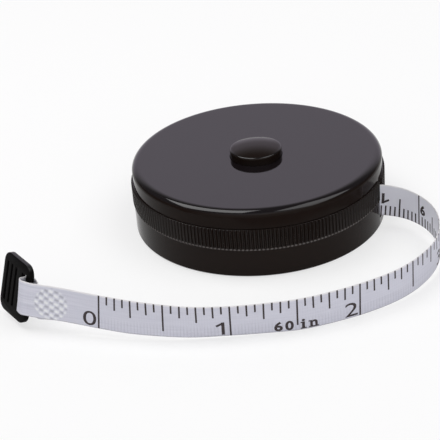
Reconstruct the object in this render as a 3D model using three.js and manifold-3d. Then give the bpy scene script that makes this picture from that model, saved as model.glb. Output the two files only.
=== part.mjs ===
// Pocket tape measure: a printed woven tape on a spring reel, in a round two-part case with a push button.
// Millimetres, +Z up. The origin is on the case's axis, on the surface that the case stands on.
import * as THREE from 'three';
import { mergeVertices } from 'three/addons/utils/BufferGeometryUtils.js';
import Module from 'manifold-3d';

const wasm = await Module();
wasm.setup();

// Clearances
const fitGap = 0.15; // between moulded pieces that are pressed or snapped together
const runGap = 0.2; // between pieces that move past each other
const bearingGap = 0.08; // between the arbor and the bores that turn on it

// Tape
const tapeLength = 1524; // zero mark to the inner end, 60 inches
const tapeWidth = 7.3;
const tapeThickness = 0.26;
const tapeDrawnOut = 99.6; // zero mark to the slot
const coilSlack = 1.04; // wound thickness over flat thickness

// Case
const bandRadius = 27; // smooth band above the grip
const lowerBandStep = 0.3; // how far the smooth band below the grip stands out from the one above
const gripStep = 0.5; // how far the knurled grip stands out from the upper band
const gripHeight = 4.8;
const gripChamfer = 0.3;
const coverBandHeight = 3.95; // from the seam to the top
const wallThickness = 1.6;
const floorThickness = 1;
const coverThickness = 2.05;
const topEdgeRadius = 1.4;
const topDish = 0.6; // how far the top sinks towards its middle
const bottomEdgeRadius = 0.5;
const rimDepth = 2; // how far the cover's rim reaches into the lower case
const rimThickness = 0.8;
const slotWidth = 1.1;
const slotSlant = 16; // degrees, the way that the tape takes through the wall
const slotSill = 1; // height of the slot's lower end above the floor's inner face

// Reel
const drumRadius = 12;
const drumWall = 1.4;
const flangeThickness = 0.5;
const flangeMargin = 0.6; // how far the flanges reach past the fully wound coil
const reelCoverThickness = 0.8;
const locatingRimDepth = 0.7;
const locatingRimWall = 0.8;
const webThickness = 0.6;
const anchorPinRadius = 0.5;

// Arbor, springs and washer
const arborRadius = 2;
const arborSlotWidth = 0.5;
const socketDepth = 0.5;
const bossWall = 0.9;
const mainspringThickness = 0.2;
const mainspringPitch = 0.85;
const springPocketRadius = 5;
const springPocketDepth = 2.2;
const liftCoilRadius = 3.5;
const liftWire = 0.5;
const liftTurns = 3;
const washerThickness = 0.35;
const washerWidth = 2.2;

// Button and brake
const buttonTravel = 0.8;
const buttonRadius = 5.6;
const buttonRise = 1.2; // from the case's top to the button's rim
const buttonDome = 0.85;
const buttonRimRadius = 0.35;
const buttonFlange = 1.6; // how far the retaining flange reaches past the hole
const headroom = 1.9; // between the reel and the cover, for the brake and the flange
const brakeWidth = 4;
const brakeSeatDepth = 0.4;

// End tab, in its own frame: X across it towards the tape, Y along the slot, Z out of its face
const tabWidth = 9.8;
const tabHeight = 12.3;
const tabThickness = 1;
const tabCornerRadius = 2.1;
const tabBevel = 0.2;
const tabBarWidth = 1.4;
const tabSlotWidth = 1.7;
const tabSlotMargin = 0.3; // between the tape's edges and the slot's ends
const tabGrooves = 3;
const tabGrooveWidth = 0.7;
const tabGroovePitch = 1.6;
const tabLand = 1.7; // between the slot and the nearest groove
const tabGrooveLength = 8.4;
const tabGrooveDepth = 0.3;
const tabCentre = new THREE.Vector3(-49.73, -34.5, 6.98);
const tabHeading = -55; // degrees about +Z, then tilt about X and roll about Y
const tabTilt = -16.1;
const tabRoll = 2.5;

// The tape's middle line from the coil, through the slot, round the front to the tab's bar and back
// along itself. Each point is x, y, z and the tape's lean in degrees, positive towards its inch side.
const tapeRoute = [
  [5.6, -16.8, 6.3, 0],
  [12, -14.8, 6.3, 0],
  [18.4, -12.7, 6.2, 0],
  [24.9, -10.4, 6.1, 0],
  [27.8, -11, 5.9, -1],
  [30.4, -12.5, 5.7, -2],
  [32.9, -15.5, 5.5, -3],
  [34.5, -19.1, 5.3, -2],
  [35.1, -23, 5, -1],
  [34.5, -28, 4.7, 0],
  [32.6, -32.5, 4.4, 1],
  [28.9, -37.2, 4.2, 1],
  [24.2, -41, 4, 2],
  [18, -44, 3.8, 2],
  [11.4, -46.4, 3.8, 3],
  [4.6, -47.9, 3.7, 4],
  [-2.4, -48.4, 3.8, 7],
  [-9.3, -48.4, 3.9, 8],
  [-16.3, -48, 4.1, 5],
  [-22.2, -47, 4.5, 1],
  [-27.9, -45.4, 4.8, -3],
  [-33.5, -43.5, 5.3, -4],
  [-37.2, -42.2, 5.7, -4],
  [-41, -41, 6.2, -5],
  [-44.4, -40, 6.5, -6],
  [-47.2, -39.3, 6.9, -6],
  [-48.65, -38.7, 7.2, -10],
  [-49.05, -37.65, 7.2, -11],
  [-48.3, -36.9, 6.9, 0],
  [-47.1, -36.75, 6.5, 11],
  [-46.2, -37.7, 6.05, 14],
  [-45.55, -39, 6, 9],
  [-44.3, -39.7, 6.05, 5],
  [-41, -40.5, 5.8, 4],
  [-38.4, -41.25, 5.45, 4],
];
const slotPoint = 3; // the route's point that lies in the case's slot

// Heights, from the floor up
const reelBottom = floorThickness + buttonTravel + runGap;
const coilBottom = reelBottom + flangeThickness + fitGap;
const coilTop = coilBottom + tapeWidth;
const reelCoverBottom = coilTop + fitGap;
const reelCoverTop = reelCoverBottom + reelCoverThickness;
const coverUnderside = reelCoverTop + headroom;
const caseHeight = coverUnderside + coverThickness;
const gripTop = caseHeight - coverBandHeight;
const gripBottom = gripTop - gripHeight;
const rimBottom = gripTop - rimDepth;
const coverBandBottom = gripTop + fitGap;
const webBottom = reelBottom + springPocketDepth;
const webTop = webBottom + webThickness;
const locatingRimBottom = reelCoverBottom - locatingRimDepth;
const washerTop = webBottom - fitGap;
const washerBottom = washerTop - washerThickness;
const bossTop = washerBottom - buttonTravel - runGap;
const arborTop = reelCoverTop - reelCoverThickness / 2;
const brakeBottom = reelCoverTop + fitGap;
const buttonBottom = brakeBottom;

// Outer radius of a length of tape wound on the drum
function woundRadius(length) {
  return Math.sqrt(coilInner ** 2 + (length * tapeThickness * coilSlack) / Math.PI);
}

// Radii
const gripRadius = bandRadius + gripStep;
const lowerRadius = bandRadius + lowerBandStep;
const innerRadius = bandRadius - wallThickness;
const rimRadius = innerRadius + rimThickness;
const drumInner = drumRadius - drumWall;
const buttonHole = buttonRadius + runGap;
const buttonFlangeRadius = buttonHole + buttonFlange;
const brakeInner = buttonFlangeRadius + 6 * runGap;
const brakeOuter = brakeInner + brakeWidth;
const coilInner = drumRadius + fitGap;
const coilOuter = woundRadius(tapeLength - tapeDrawnOut);
const flangeRadius = woundRadius(tapeLength) + flangeMargin;

// Facets round a circle
const caseFacets = 60;
const reelFacets = 48;
const smallFacets = 32;
const arborBore = (arborRadius + bearingGap) / Math.cos(Math.PI / smallFacets);

// Shared vertices merged and flat triangles dropped, which leaves one closed skin
function closed(geometry) {
  geometry.deleteAttribute('normal');
  geometry.deleteAttribute('uv');
  const merged = mergeVertices(geometry);
  const corners = merged.index.array;
  const kept = [];
  for (let i = 0; i < corners.length; i += 3) {
    const [a, b, c] = corners.slice(i, i + 3);
    if (a !== b && b !== c && c !== a) kept.push(a, b, c);
  }
  merged.setIndex(kept);
  return merged;
}

function toSolid(geometry) {
  const skin = closed(geometry);
  const vertProperties = new Float32Array(skin.attributes.position.array);
  const triVerts = new Uint32Array(skin.index.array);
  return new wasm.Manifold(new wasm.Mesh({ numProp: 3, vertProperties, triVerts }));
}

function cut(body, tools) {
  const solid = tools.reduce((left, tool) => left.subtract(toSolid(tool)), toSolid(body));
  const mesh = solid.getMesh();
  const geometry = new THREE.BufferGeometry();
  geometry.setAttribute('position', new THREE.BufferAttribute(new Float32Array(mesh.vertProperties), 3));
  geometry.setIndex([...mesh.triVerts]);
  return geometry;
}

// A turned shape about Z from [radius, height] points, listed anticlockwise round the section
function turned(points, facets) {
  const outline = points.map(([radius, height]) => new THREE.Vector2(radius, height));
  return new THREE.LatheGeometry(outline, facets).rotateX(Math.PI / 2);
}

function turnedRing(points, facets) {
  return turned([...points, points[0]], facets);
}

// A plain ring, listed by its inner and outer radius and its lower and upper face
function plainRing(inner, outer, bottom, top, facets) {
  return turnedRing([[inner, bottom], [outer, bottom], [outer, top], [inner, top]], facets);
}

// A quarter of a rounded edge as section points, from one angle to another in degrees
function roundedEdge(centre, radius, from, to, steps) {
  return Array.from({ length: steps + 1 }, (_, i) => {
    const angle = THREE.MathUtils.degToRad(from + ((to - from) * i) / steps);
    return [centre[0] + radius * Math.cos(angle), centre[1] + radius * Math.sin(angle)];
  });
}

// A box between two corners
function block(low, high) {
  const size = high.map((value, i) => value - low[i]);
  const middle = high.map((value, i) => (value + low[i]) / 2);
  return new THREE.BoxGeometry(...size).translate(...middle);
}

function plastic(color, roughness) {
  return new THREE.MeshStandardMaterial({ color, roughness, metalness: 0 });
}

function steel(color, roughness) {
  return new THREE.MeshStandardMaterial({ color, roughness, metalness: 1 });
}

const tapeMeasure = new THREE.Group();

function addPiece(name, geometry, material, parent = tapeMeasure) {
  const piece = new THREE.Mesh(closed(geometry), material);
  piece.name = name;
  parent.add(piece);
}

// The tape's way through the wall, from its lower end up to a given height
function slotBlock(top) {
  const [x, y] = tapeRoute[slotPoint];
  const low = [-drumRadius, -slotWidth / 2, floorThickness + slotSill];
  const high = [4 * wallThickness, slotWidth / 2, top];
  return block(low, high).rotateZ(THREE.MathUtils.degToRad(slotSlant)).translate(x, y, 0);
}

// Lower case: floor, lower band and knurled grip, with a boss for the arbor
function lowerCase() {
  const rebateRadius = rimRadius + fitGap;
  const rebateBottom = rimBottom - fitGap;
  const bossRadius = arborRadius + bossWall;
  const socketRadius = arborRadius + fitGap;
  const socketBottom = floorThickness - socketDepth;
  const bottomEdge = [lowerRadius - bottomEdgeRadius, bottomEdgeRadius];
  const body = turned([
    [0, 0],
    ...roundedEdge(bottomEdge, bottomEdgeRadius, -90, 0, 3),
    [lowerRadius, gripBottom],
    [gripRadius, gripBottom + gripChamfer],
    [gripRadius, gripTop - gripChamfer],
    [gripRadius - gripChamfer, gripTop],
    [rebateRadius, gripTop],
    [rebateRadius, rebateBottom],
    [innerRadius, rebateBottom],
    [innerRadius, floorThickness],
    [bossRadius, floorThickness],
    [bossRadius, bossTop],
    [socketRadius, bossTop],
    [socketRadius, socketBottom],
    [0, socketBottom],
  ], caseFacets);
  return cut(body, [slotBlock(caseHeight)]);
}

// Top cover: disc and upper band, with the rim that snaps into the lower case and the button's hole
function topCover() {
  const seatInner = brakeInner - fitGap;
  const seatOuter = brakeOuter + fitGap;
  const seatTop = coverUnderside + brakeSeatDepth;
  const topRadius = bandRadius - topEdgeRadius;
  const topEdge = [topRadius, caseHeight - topEdgeRadius];
  const dishSteps = 5;
  const dish = Array.from({ length: dishSteps }, (_, i) => {
    const radius = topRadius + ((buttonHole - topRadius) * (i + 1)) / dishSteps;
    return [radius, caseHeight - topDish * (1 - (radius / topRadius) ** 2)];
  });
  const body = turnedRing([
    [buttonHole, coverUnderside],
    [seatInner, coverUnderside],
    [seatInner, seatTop],
    [seatOuter, seatTop],
    [seatOuter, coverUnderside],
    [innerRadius, coverUnderside],
    [innerRadius, rimBottom],
    [rimRadius, rimBottom],
    [rimRadius, coverBandBottom],
    [bandRadius, coverBandBottom],
    ...roundedEdge(topEdge, topEdgeRadius, 0, 90, 4),
    ...dish,
  ], caseFacets);
  return cut(body, [slotBlock(gripTop - fitGap)]);
}

// Brake ring: friction ring in the cover's seat, which the lift spring holds the reel against
function brakeRing() {
  const top = coverUnderside + brakeSeatDepth - fitGap;
  return plainRing(brakeInner, brakeOuter, brakeBottom, top, reelFacets);
}

// Arbor: fixed post in the floor's boss, slotted for the mainspring's inner end
function arbor() {
  const bottom = floorThickness - socketDepth + fitGap;
  const tipChamfer = arborRadius / 6;
  const post = turned([
    [0, bottom],
    [arborRadius, bottom],
    [arborRadius, arborTop - tipChamfer],
    [arborRadius - tipChamfer, arborTop],
    [0, arborTop],
  ], smallFacets);
  const half = arborSlotWidth / 2;
  return cut(post, [block([-half, -2 * arborRadius, webTop], [half, 2 * arborRadius, caseHeight])]);
}

// Reel: drum, lower flange and web, with a pocket underneath for the lift spring
function anchorPlace() {
  return [drumRadius - 1.2 * anchorPinRadius, 0];
}

function reel() {
  const body = turnedRing([
    [arborBore, webBottom],
    [springPocketRadius, webBottom],
    [springPocketRadius, reelBottom],
    [flangeRadius, reelBottom],
    [flangeRadius, reelBottom + flangeThickness],
    [drumRadius, reelBottom + flangeThickness],
    [drumRadius, coilTop],
    [drumInner, coilTop],
    [drumInner, webTop],
    [arborBore, webTop],
  ], reelFacets);
  const grooveRadius = anchorPinRadius + fitGap;
  const groove = new THREE.CylinderGeometry(grooveRadius, grooveRadius, 2 * tapeWidth, smallFacets / 2);
  groove.rotateX(Math.PI / 2).translate(...anchorPlace(), coilBottom + tapeWidth);
  return cut(body, [groove]);
}

// Anchor pin: holds the tape's inner end in the drum's groove
function anchorPin() {
  const height = tapeWidth - 2 * fitGap;
  const pin = new THREE.CylinderGeometry(anchorPinRadius, anchorPinRadius, height, smallFacets / 2);
  return pin.rotateX(Math.PI / 2).translate(...anchorPlace(), coilBottom + tapeWidth / 2);
}

// Reel cover: upper flange that closes the spring chamber and carries the brake face
function reelCover() {
  const rimOuter = drumInner - fitGap;
  const rimInner = rimOuter - locatingRimWall;
  return turnedRing([
    [arborBore, reelCoverBottom],
    [rimInner, reelCoverBottom],
    [rimInner, locatingRimBottom],
    [rimOuter, locatingRimBottom],
    [rimOuter, reelCoverBottom],
    [flangeRadius, reelCoverBottom],
    [flangeRadius, reelCoverTop],
    [arborBore, reelCoverTop],
  ], reelFacets);
}

// Mainspring: flat steel strip wound from the arbor out to the drum
function mainspring() {
  const stepsPerTurn = 20;
  const innerTurn = arborRadius + 2 * runGap + mainspringThickness;
  const outerTurn = drumInner - 2 * runGap - mainspringThickness;
  const steps = Math.floor(((outerTurn - innerTurn) / mainspringPitch) * stepsPerTurn);
  const side = (offset) => Array.from({ length: steps + 1 }, (_, i) => {
    const radius = innerTurn + (mainspringPitch * i) / stepsPerTurn + offset;
    const angle = (2 * Math.PI * i) / stepsPerTurn;
    return new THREE.Vector2(radius * Math.cos(angle), radius * Math.sin(angle));
  });
  const half = mainspringThickness / 2;
  const strip = new THREE.Shape([...side(half), ...side(-half).reverse()]);
  const bottom = webTop + runGap;
  const depth = locatingRimBottom - runGap - bottom;
  return new THREE.ExtrudeGeometry(strip, { depth, bevelEnabled: false }).translate(0, 0, bottom);
}

// Lift spring: compression coil round the arbor's boss, which pushes the reel up to the brake
class LiftCoil extends THREE.Curve {
  getPoint(t, target = new THREE.Vector3()) {
    const bottom = floorThickness + fitGap + liftWire / 2;
    const top = washerBottom - fitGap - liftWire / 2;
    const angle = 2 * Math.PI * liftTurns * t;
    const height = bottom + (top - bottom) * t;
    return target.set(liftCoilRadius * Math.cos(angle), liftCoilRadius * Math.sin(angle), height);
  }
}

function liftSpring() {
  const wire = new THREE.Shape().absarc(0, 0, liftWire / 2, 0, 2 * Math.PI);
  const options = { extrudePath: new LiftCoil(), steps: 16 * liftTurns, curveSegments: 6 };
  return new THREE.ExtrudeGeometry(wire, options);
}

// Thrust washer: lets the reel turn on the lift spring
function thrustWasher() {
  const inner = arborRadius + runGap;
  return plainRing(inner, inner + washerWidth, washerBottom, washerTop, smallFacets);
}

// Release button: domed cap with a flange that the cover holds in, hollow over the arbor's tip
function releaseButton() {
  const recessRadius = arborRadius + 3 * runGap;
  const recessTop = arborTop + buttonTravel + runGap;
  const flangeTop = coverUnderside - runGap;
  const rimTop = caseHeight + buttonRise;
  const domeSteps = 4;
  const domeEdge = buttonRadius - buttonRimRadius;
  const dome = Array.from({ length: domeSteps }, (_, i) => {
    const radius = (domeEdge * (domeSteps - 1 - i)) / domeSteps;
    return [radius, rimTop + buttonDome * (1 - (radius / domeEdge) ** 2)];
  });
  return turned([
    [0, recessTop],
    [recessRadius, recessTop],
    [recessRadius, buttonBottom],
    [buttonFlangeRadius, buttonBottom],
    [buttonFlangeRadius, flangeTop],
    [buttonRadius, flangeTop],
    ...roundedEdge([domeEdge, rimTop - buttonRimRadius], buttonRimRadius, 0, 90, 2),
    ...dome,
  ], reelFacets);
}

// Tape coil: the turns that are still wound on the drum
function tapeCoil() {
  return plainRing(coilInner, coilOuter, coilBottom, coilTop, caseFacets);
}

// Tape run: a flat strip bent along the route, with its end doubled back round the tab's bar
function tapeRun() {
  const stepsBetweenPoints = 3;
  const middle = new THREE.CatmullRomCurve3(tapeRoute.map(([x, y, z]) => new THREE.Vector3(x, y, z)));
  const lean = new THREE.CatmullRomCurve3(tapeRoute.map((point) => new THREE.Vector3(point[3], 0, 0)));
  const steps = stepsBetweenPoints * (tapeRoute.length - 1);
  const strip = new THREE.BoxGeometry(1, tapeWidth, tapeThickness, steps, 1, 1);
  const place = strip.attributes.position;
  const upright = new THREE.Vector3(0, 0, 1);
  for (let i = 0; i < place.count; i += 1) {
    const t = THREE.MathUtils.clamp(place.getX(i) + 0.5, 0, 1);
    const along = middle.getTangent(t);
    const across = upright.clone().addScaledVector(along, -upright.dot(along)).normalize();
    across.applyAxisAngle(along, -THREE.MathUtils.degToRad(lean.getPoint(t).x));
    const through = along.clone().cross(across);
    const point = middle.getPoint(t);
    point.addScaledVector(across, place.getY(i)).addScaledVector(through, place.getZ(i));
    place.setXYZ(i, ...point);
  }
  return strip;
}

function roundedRectangle(path, left, bottom, right, top, radius) {
  path.moveTo(left + radius, bottom);
  path.absarc(right - radius, bottom + radius, radius, -Math.PI / 2, 0);
  path.absarc(right - radius, top - radius, radius, 0, Math.PI / 2);
  path.absarc(left + radius, top - radius, radius, Math.PI / 2, Math.PI);
  path.absarc(left + radius, bottom + radius, radius, Math.PI, 1.5 * Math.PI);
  path.closePath();
  return path;
}

// End tab: flat plate with a slot, a bar for the tape's loop and grip grooves on both faces
function endTab() {
  const halfWidth = tabWidth / 2;
  const halfHeight = tabHeight / 2;
  const slotRight = halfWidth - tabBarWidth;
  const slotLeft = slotRight - tabSlotWidth;
  const slotRadius = tabBarWidth / 4;
  const halfSlot = tapeWidth / 2 + tabSlotMargin;
  const halfGroove = tabGrooveLength / 2;
  const plate = roundedRectangle(new THREE.Shape(), -halfWidth, -halfHeight, halfWidth, halfHeight, tabCornerRadius);
  plate.holes.push(roundedRectangle(new THREE.Path(), slotLeft, -halfSlot, slotRight, halfSlot, slotRadius));
  const body = new THREE.ExtrudeGeometry(plate, {
    depth: tabThickness - 2 * tabBevel,
    bevelThickness: tabBevel,
    bevelSize: tabBevel,
    bevelOffset: -tabBevel,
    bevelSegments: 1,
    curveSegments: 5,
  }).translate(0, 0, tabBevel - tabThickness / 2);
  const grooves = [];
  for (let i = 1; i <= tabGrooves; i += 1) {
    const right = slotLeft - tabLand - (i - 1) * tabGroovePitch;
    const left = right - tabGrooveWidth;
    const outside = tabThickness;
    const bottom = tabThickness / 2 - tabGrooveDepth;
    grooves.push(block([left, -halfGroove, bottom], [right, halfGroove, outside]));
    grooves.push(block([left, -halfGroove, -outside], [right, halfGroove, -bottom]));
  }
  return cut(body, grooves);
}

addPiece('lower_case', lowerCase(), plastic(0x141313, 0.25));
addPiece('top_cover', topCover(), plastic(0x151415, 0.15));
addPiece('brake_ring', brakeRing(), plastic(0x2b2b2b, 0.9));
addPiece('arbor', arbor(), steel(0xb9bcc0, 0.35));
addPiece('lift_spring', liftSpring(), steel(0xa9adb2, 0.3));
addPiece('thrust_washer', thrustWasher(), plastic(0xd8d4c8, 0.5));
addPiece('reel', reel(), plastic(0xe6e3da, 0.5));
addPiece('reel_cover', reelCover(), plastic(0xe6e3da, 0.5));
addPiece('tape_anchor_pin', anchorPin(), plastic(0xd8d4c8, 0.5));
addPiece('mainspring', mainspring(), steel(0x6f7b8c, 0.3));
addPiece('release_button', releaseButton(), plastic(0x131213, 0.12));
addPiece('tape_coil', tapeCoil(), plastic(0xc4c4cc, 0.8));
addPiece('tape_run', tapeRun(), plastic(0xc4c4cc, 0.8));

const tabPlace = new THREE.Group();
const [tilt, roll, heading] = [tabTilt, tabRoll, tabHeading].map(THREE.MathUtils.degToRad);
tabPlace.position.copy(tabCentre);
tabPlace.rotation.set(tilt, roll, heading, 'ZXY');
tapeMeasure.add(tabPlace);
const uprightTab = new THREE.Group();
uprightTab.rotation.x = Math.PI / 2;
tabPlace.add(uprightTab);
addPiece('end_tab', endTab(), plastic(0x171616, 0.35), uprightTab);

export default tapeMeasure;
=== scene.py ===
import math

import bmesh
import bpy
from mathutils import Matrix, Vector, noise


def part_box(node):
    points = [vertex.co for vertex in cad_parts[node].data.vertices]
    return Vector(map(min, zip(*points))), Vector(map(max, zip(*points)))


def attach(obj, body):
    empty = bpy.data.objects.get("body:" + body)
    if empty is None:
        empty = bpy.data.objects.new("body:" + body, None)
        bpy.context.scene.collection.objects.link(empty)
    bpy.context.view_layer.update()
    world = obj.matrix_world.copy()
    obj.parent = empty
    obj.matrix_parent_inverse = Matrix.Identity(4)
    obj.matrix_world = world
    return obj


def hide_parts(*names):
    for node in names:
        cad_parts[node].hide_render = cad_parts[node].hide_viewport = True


# Pocket tape measure: glossy black case, push button, printed woven tape with a pull tab on its end.
# Sizes in the dictionaries are millimetres and degrees; Blender works in metres.
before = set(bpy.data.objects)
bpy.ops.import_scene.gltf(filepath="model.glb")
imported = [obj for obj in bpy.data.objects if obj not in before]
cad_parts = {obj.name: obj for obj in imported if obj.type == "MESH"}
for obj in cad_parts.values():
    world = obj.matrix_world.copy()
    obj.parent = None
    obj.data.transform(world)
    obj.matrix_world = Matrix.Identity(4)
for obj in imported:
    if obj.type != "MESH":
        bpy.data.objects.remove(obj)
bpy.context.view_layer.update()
mm = 0.001
mergeGap = 1e-6  # metres, vertices nearer than this become one
samePlace = 0.01  # points nearer than this count as one place
baseCorner, coverCorner = (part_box(node)[1] / mm for node in ("lower_case", "top_cover"))
gripRadius = baseCorner.x  # the knurl's crests
gripTop = baseCorner.z  # the seam between the two halves
bandRadius = coverCorner.x  # the smooth band above the knurl
caseHeight = coverCorner.z
scene = bpy.context.scene


def linkPiece(name, mesh):
    piece = bpy.data.objects.new(name, mesh)
    scene.collection.objects.link(piece)
    return piece


def finishMesh(name, shape, sharpAngle=35):
    bmesh.ops.recalc_face_normals(shape, faces=shape.faces)
    mesh = bpy.data.meshes.new(name)
    shape.to_mesh(mesh)
    shape.free()
    piece = linkPiece(name, mesh)
    smoothShade(piece, sharpAngle)
    return piece


def smoothShade(piece, sharpAngle):
    for face in piece.data.polygons:
        face.use_smooth = True
    piece.data.set_sharp_from_angle(angle=math.radians(sharpAngle))


# Broad faces keep their own direction, and only the roundings between them blend
def evenShade(piece):
    smoothShade(piece, sharpAngle=22)
    blend = piece.modifiers.new("blend", "WEIGHTED_NORMAL")
    blend.keep_sharp = True
    applyModifiers(piece)


def applyModifiers(piece):
    bpy.context.view_layer.update()
    shaped = piece.evaluated_get(bpy.context.evaluated_depsgraph_get())
    mesh = bpy.data.meshes.new_from_object(shaped)
    piece.modifiers.clear()
    piece.data = mesh


# 0 at the start, 1 where it is full, and even in between
def ramp(value, start, full):
    return min(max((value - start) / (full - start), 0), 1)


polishUp = {"start": 0.5, "full": 0.75}  # how far up a spot looks, from 0 sideways to 1 straight up


# How mirror-like each spot is, from 0 to 1: what looks up comes from the polished half of the mould
def markPolish(piece, least=0.0, levels=(0, 0)):
    marks = piece.data.attributes.new("polish", "FLOAT", "POINT")
    low, high = (level * mm for level in levels)
    for vert, spot in zip(piece.data.vertices, marks.data):
        facing = ramp(vert.normal.z, polishUp["start"], polishUp["full"])
        spot.value = max(facing, least) if low <= vert.co.z <= high else facing


# Camera, set where the photograph was taken from
camera = {
    "place": (-8.998, -255.795, 139.853),
    "pitch": 28.85,  # looking down
    "roll": 5.03,
    "lens": 107.82,
    "sensor": 36,
    "nearest": 10,
    "furthest": 20000,
}


def makeCamera():
    eye = bpy.data.cameras.new("camera")
    eye.lens = camera["lens"]
    eye.sensor_width = camera["sensor"]
    eye.clip_start = camera["nearest"] * mm
    eye.clip_end = camera["furthest"] * mm
    holder = linkPiece("camera", eye)
    place = Matrix.Translation(Vector(camera["place"]) * mm)
    pitch = Matrix.Rotation(math.radians(90 - camera["pitch"]), 4, "X")
    roll = Matrix.Rotation(math.radians(-camera["roll"]), 4, "Z")
    holder.matrix_world = place @ pitch @ roll
    scene.camera = holder


makeCamera()
print("camera set")

# The tape's middle line from the coil, through the slot, round the front to the tab's bar and back along
# itself. Each point is x, y, z and the tape's lean in degrees, positive towards its inch side.
tapeRoute = [
    (5.6, -16.8, 6.3, 0),
    (12, -14.8, 6.3, 0),
    (18.4, -12.7, 6.2, 0),
    (24.9, -10.4, 6.1, 0),
    (27.8, -11, 5.9, -1),
    (30.4, -12.5, 5.7, -2),
    (32.9, -15.5, 5.5, -3),
    (34.5, -19.1, 5.3, -2),
    (35.1, -23, 5, -1),
    (34.5, -28, 4.7, 0),
    (32.6, -32.5, 4.4, 1),
    (28.9, -37.2, 4.2, 1),
    (24.2, -41, 4, 2),
    (18, -44, 3.8, 2),
    (11.4, -46.4, 3.8, 3),
    (4.6, -47.9, 3.7, 4),
    (-2.4, -48.4, 3.8, 7),
    (-9.3, -48.4, 3.9, 8),
    (-16.3, -48, 4.1, 5),
    (-22.2, -47, 4.5, 1),
    (-27.9, -45.4, 4.8, -3),
    (-33.5, -43.5, 5.3, -4),
    (-37.2, -42.2, 5.7, -4),
    (-41, -41, 6.2, -5),
    (-44.4, -40, 6.5, -6),
    (-47.2, -39.3, 6.9, -6),
    (-48.65, -38.7, 7.2, -10),
    (-49.05, -37.65, 7.2, -11),
    (-48.3, -36.9, 6.9, 0),
    (-47.1, -36.75, 6.5, 11),
    (-46.2, -37.7, 6.05, 14),
    (-45.55, -39, 6, 9),
    (-44.3, -39.7, 6.05, 5),
    (-41, -40.5, 5.8, 4),
    (-38.4, -41.25, 5.45, 4),
]
tape = {
    "width": 7.3,
    "thickness": 0.26,
    "exitPoint": 3,  # the route's points at the slot, at the zero mark and at the fold round the bar
    "zeroPoint": 21,
    "foldPoint": 27,
    "drawnOut": 99.6,  # printed distance from the zero mark to the slot
    "freeLength": 136,  # from the coil to the fold
    "stepsPerGap": 16,
    "stripStep": 0.16,
    "columns": 36,
    "edgeRound": 0.45,  # the selvedge rounds off over this much of the width
    "edgeShare": 0.3,  # thickness left at the very edge
    "weldMiddle": (-9.75, -0.2),  # the round welded patch, measured from the zero mark and the tape's middle
    "weldRadius": 3.55,
    "weldFade": 0.4,  # its rim dies away over this much
    "weldPit": (-9.68, 0.0),  # one of the horn's pits
    "weldPitch": (2.05, 1.7),  # the pits' rows lie slantwise, with these diagonals
    "weldShape": (0.6, 1.5),  # powers that make a pit long along the tape and narrow across it
    "weldTilt": 0.55,  # each pit lies a little askew
    "weldRidge": 0.2,  # the ridges take up this much more than the pits
    "weldUneven": 1.5,  # between the cloth's uneven spots
    "weldShift": 0.55,  # how far those move a pit, in radians of its pitch
    "weldSeed": 7,  # keeps those the same in every run
    "weldDepth": 0.3,
    "tailStart": -19.6,  # beyond the bar the strip comes back along itself
    "tailRamp": 2,
    "tailClear": 0.12,  # and stands back by this much
}


def smoothRoute(points, perGap):
    ends = [2 * points[0] - points[1], *points, 2 * points[-1] - points[-2]]
    line = []
    for before, start, stop, after in zip(ends, ends[1:], ends[2:], ends[3:]):
        spans = ((before, start), (start, stop), (stop, after))
        first, middle, last = (math.sqrt((b - a).to_3d().length) for a, b in spans)
        leave = (start - before) / first - (stop - before) / (first + middle) + (stop - start) / middle
        arrive = (stop - start) / middle - (after - start) / (middle + last) + (after - stop) / last
        leave, arrive = leave * middle, arrive * middle
        for i in range(perGap):
            t = i / perGap
            square = (stop - start) * 3 - leave * 2 - arrive
            cube = (start - stop) * 2 + leave + arrive
            line.append(start + leave * t + square * t**2 + cube * t**3)
    return line + [points[-1]]


routeLine = smoothRoute([Vector(point) for point in tapeRoute], tape["stepsPerGap"])
routeAlong = [0.0]
for start, stop in zip(routeLine, routeLine[1:]):
    routeAlong.append(routeAlong[-1] + (stop - start).to_3d().length)
exitIndex, zeroIndex, foldIndex = (
    tape[key] * tape["stepsPerGap"] for key in ("exitPoint", "zeroPoint", "foldPoint")
)
zeroAlong = routeAlong[zeroIndex]
printStretch = (zeroAlong - routeAlong[exitIndex]) / tape["drawnOut"]  # the smooth line against the print
coilEnd = zeroAlong / printStretch
tailEnd = (zeroAlong - routeAlong[-1]) / printStretch
tapeSpots = {}


# Where a printed distance from the zero mark lies: its place, up across the tape, and out of the inch side
def tapeSpot(distance):
    key = round(distance, 3)
    if key not in tapeSpots:
        along = min(max(zeroAlong - distance * printStretch, 0), routeAlong[-1])
        low, high = 0, len(routeAlong) - 2
        while low < high:
            half = (low + high + 1) // 2
            low, high = (half, high) if routeAlong[half] <= along else (low, half - 1)
        share = (along - routeAlong[low]) / (routeAlong[low + 1] - routeAlong[low])
        here = routeLine[low].lerp(routeLine[low + 1], share)
        before = routeLine[max(low - 1, 0)].lerp(routeLine[low], share)
        after = routeLine[low + 1].lerp(routeLine[min(low + 2, len(routeLine) - 1)], share)
        onward = (after - before).to_3d().normalized()
        up = Vector((0, 0, 1))
        up = (up - onward * up.dot(onward)).normalized()
        up.rotate(Matrix.Rotation(math.radians(-here.w), 3, onward))
        tapeSpots[key] = here.to_3d(), up, up.cross(onward)
    return tapeSpots[key]


# A shape drawn flat, x along the print, y across the tape and z out of the inch side, is laid on the route
def bendToTape(shape):
    for vert in shape.verts:
        place, up, out = tapeSpot(vert.co.x)
        vert.co = (place + up * vert.co.y + out * vert.co.z) * mm


# Share of the full thickness, which the rounded selvedge loses
def tapeEdge(across):
    half = tape["width"] / 2
    share = ramp(abs(across), half - tape["edgeRound"], half)
    return tape["edgeShare"] + (1 - tape["edgeShare"]) * math.sqrt(1 - share**2)


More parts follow.
